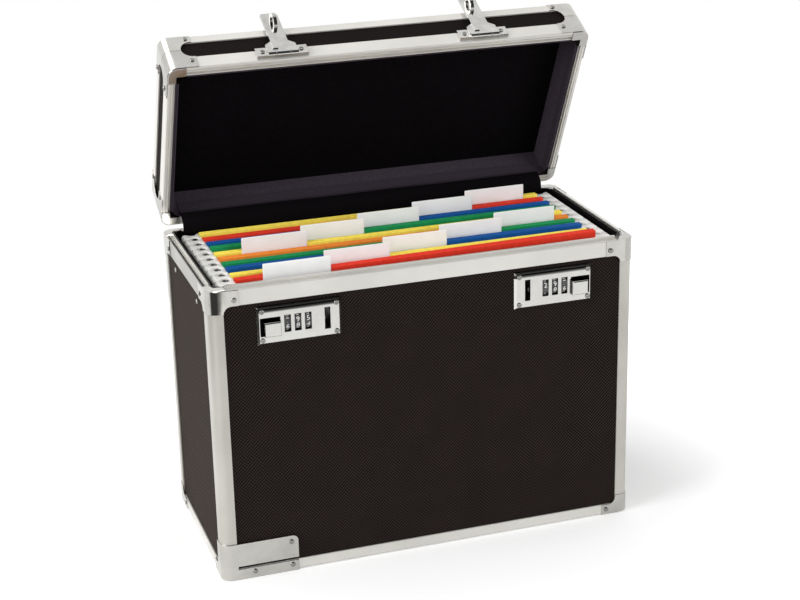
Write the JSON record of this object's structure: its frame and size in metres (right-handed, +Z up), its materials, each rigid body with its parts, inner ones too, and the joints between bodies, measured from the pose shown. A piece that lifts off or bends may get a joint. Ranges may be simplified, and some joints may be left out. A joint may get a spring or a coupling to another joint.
{
  "type": "portable file box",
  "caption": "Upright file box in an aluminium frame with chrome corners, a hinged lid, combination locks, hasps, a folding handle and hanging folders.",
  "frame": {"origin": "middle of the case's footprint, in the plane of the four foot caps that it stands on", "axes": "+Z up, -Y towards the front wall with the locks, +X towards the right end as seen from the front; the hinge runs along X at the back"},
  "size_m": [0.3734, 0.2186, 0.4478],
  "materials": {
    "black_panel": "black laminate with a fine woven emboss",
    "lining": "near-black lining board with a matt face",
    "frame_aluminium": "satin anodised extrusion",
    "rail_black": "black painted strip",
    "cap_chrome": "polished plated steel",
    "lock_chrome": "plated lock parts",
    "steel": "plain steel",
    "rivet_steel": "bright rivets and screws",
    "dial_grey": "grey number wheels",
    "cover_fabric": "black woven strip",
    "handle_black": "black moulded grip",
    "folder_yellow": "coloured card, coated",
    "folder_red": "coloured card, coated",
    "folder_blue": "coloured card, coated",
    "folder_green": "coloured card, coated",
    "folder_orange": "coloured card, coated"
  },
  "bodies": {
    "case": {"front_panel": "black_panel", "back_panel": "black_panel", "left_panel": "black_panel", "right_panel": "black_panel", "base_panel": "black_panel", "body_lining": "lining", "base_rails": "frame_aluminium", "rim_rails": "frame_aluminium", "corner_posts": "frame_aluminium", "rim_caps": "cap_chrome", "foot_caps": "cap_chrome", "name_plate_corner": "cap_chrome", "left_hanging_rail": "rail_black", "right_hanging_rail": "rail_black", "hinge_body_leaf": "steel", "hinge_pin": "steel", "hinge_cover": "cover_fabric", "left_lock_plate": "lock_chrome", "left_lock_case": "steel", "left_lock_spring": "steel", "right_lock_plate": "lock_chrome", "right_lock_case": "steel", "right_lock_spring": "steel", "dial_axles": "steel", "body_rivets_and_screws": "rivet_steel"},
    "lid": {"lid_top_panel": "black_panel", "lid_front_panel": "black_panel", "lid_back_panel": "black_panel", "lid_end_panels": "black_panel", "lid_lining": "lining", "lid_top_rails": "frame_aluminium", "lid_rim_rails": "frame_aluminium", "lid_rim_caps": "cap_chrome", "lid_top_caps": "cap_chrome", "hinge_lid_leaf": "steel", "hasp_bases": "lock_chrome", "hasp_pins": "lock_chrome", "handle_brackets": "lock_chrome", "lid_rivets_and_screws": "rivet_steel"},
    "left_hasp": {"left_hasp": "lock_chrome"},
    "right_hasp": {"right_hasp": "lock_chrome"},
    "handle": {"handle_grip": "handle_black"},
    "left_slide": {"left_lock_slide": "lock_chrome"},
    "right_slide": {"right_lock_slide": "lock_chrome"},
    "left_dial_1": {"left_dial_1": "dial_grey"},
    "left_dial_2": {"left_dial_2": "dial_grey"},
    "left_dial_3": {"left_dial_3": "dial_grey"},
    "right_dial_1": {"right_dial_1": "dial_grey"},
    "right_dial_2": {"right_dial_2": "dial_grey"},
    "right_dial_3": {"right_dial_3": "dial_grey"},
    "folder_1": {"folder_1": "folder_red"},
    "folder_2": {"folder_2": "folder_yellow"},
    "folder_3": {"folder_3": "folder_blue"},
    "folder_4": {"folder_4": "folder_green"},
    "folder_5": {"folder_5": "folder_orange"},
    "folder_6": {"folder_6": "folder_yellow"},
    "folder_7": {"folder_7": "folder_green"},
    "folder_8": {"folder_8": "folder_blue"},
    "folder_9": {"folder_9": "folder_red"},
    "folder_10": {"folder_10": "folder_yellow"}
  },
  "joints": [
    {"name": "lid_hinge", "type": "hinge", "parent": "case", "child": "lid", "pos_m": [0, 0.0899, 0.2579], "axis": [-1, 0, 0], "range_deg": [-63, 32], "deforming": ["hinge_cover"]},
    {"name": "left_hasp_pivot", "type": "hinge", "parent": "lid", "child": "left_hasp", "pos_m": [-0.0885, 0.01174, 0.42099], "axis": [1, 0, 0], "range_deg": [0, 178]},
    {"name": "right_hasp_pivot", "type": "hinge", "parent": "lid", "child": "right_hasp", "pos_m": [0.0885, 0.01174, 0.42099], "axis": [1, 0, 0], "range_deg": [0, 178]},
    {"name": "handle_pivot", "type": "hinge", "parent": "lid", "child": "handle", "pos_m": [0, 0.0907, 0.3592], "axis": [1, 0, 0], "range_deg": [0, 178]},
    {"name": "left_lock_slide_travel", "type": "slide", "parent": "case", "child": "left_slide", "axis": [-1, 0, 0], "range_m": [0, 0.0025], "stiffness_N_per_m": 400, "springref_m": -0.002, "deforming": ["left_lock_spring"]},
    {"name": "right_lock_slide_travel", "type": "slide", "parent": "case", "child": "right_slide", "axis": [1, 0, 0], "range_m": [0, 0.0025], "stiffness_N_per_m": 400, "springref_m": -0.002, "deforming": ["right_lock_spring"]},
    {"name": "left_dial_1_spin", "type": "hinge", "parent": "case", "child": "left_dial_1", "pos_m": [-0.1035, -0.0809, 0.2235], "axis": [1, 0, 0], "continuous": true},
    {"name": "left_dial_2_spin", "type": "hinge", "parent": "case", "child": "left_dial_2", "pos_m": [-0.1121, -0.0809, 0.2235], "axis": [1, 0, 0], "continuous": true},
    {"name": "left_dial_3_spin", "type": "hinge", "parent": "case", "child": "left_dial_3", "pos_m": [-0.1207, -0.0809, 0.2235], "axis": [1, 0, 0], "continuous": true},
    {"name": "right_dial_1_spin", "type": "hinge", "parent": "case", "child": "right_dial_1", "pos_m": [0.1035, -0.0809, 0.2235], "axis": [1, 0, 0], "continuous": true},
    {"name": "right_dial_2_spin", "type": "hinge", "parent": "case", "child": "right_dial_2", "pos_m": [0.1121, -0.0809, 0.2235], "axis": [1, 0, 0], "continuous": true},
    {"name": "right_dial_3_spin", "type": "hinge", "parent": "case", "child": "right_dial_3", "pos_m": [0.1207, -0.0809, 0.2235], "axis": [1, 0, 0], "continuous": true},
    {"name": "folder_1_lift", "type": "slide", "parent": "case", "child": "folder_1", "axis": [0, 0, 1], "range_m": [0, 0.1]},
    {"name": "folder_2_lift", "type": "slide", "parent": "case", "child": "folder_2", "axis": [0, 0, 1], "range_m": [0, 0.1]},
    {"name": "folder_3_lift", "type": "slide", "parent": "case", "child": "folder_3", "axis": [0, 0, 1], "range_m": [0, 0.1]},
    {"name": "folder_4_lift", "type": "slide", "parent": "case", "child": "folder_4", "axis": [0, 0, 1], "range_m": [0, 0.1]},
    {"name": "folder_5_lift", "type": "slide", "parent": "case", "child": "folder_5", "axis": [0, 0, 1], "range_m": [0, 0.1]},
    {"name": "folder_6_lift", "type": "slide", "parent": "case", "child": "folder_6", "axis": [0, 0, 1], "range_m": [0, 0.1]},
    {"name": "folder_7_lift", "type": "slide", "parent": "case", "child": "folder_7", "axis": [0, 0, 1], "range_m": [0, 0.1]},
    {"name": "folder_8_lift", "type": "slide", "parent": "case", "child": "folder_8", "axis": [0, 0, 1], "range_m": [0, 0.1]},
    {"name": "folder_9_lift", "type": "slide", "parent": "case", "child": "folder_9", "axis": [0, 0, 1], "range_m": [0, 0.1]},
    {"name": "folder_10_lift", "type": "slide", "parent": "case", "child": "folder_10", "axis": [0, 0, 1], "range_m": [0, 0.1]}
  ]
}
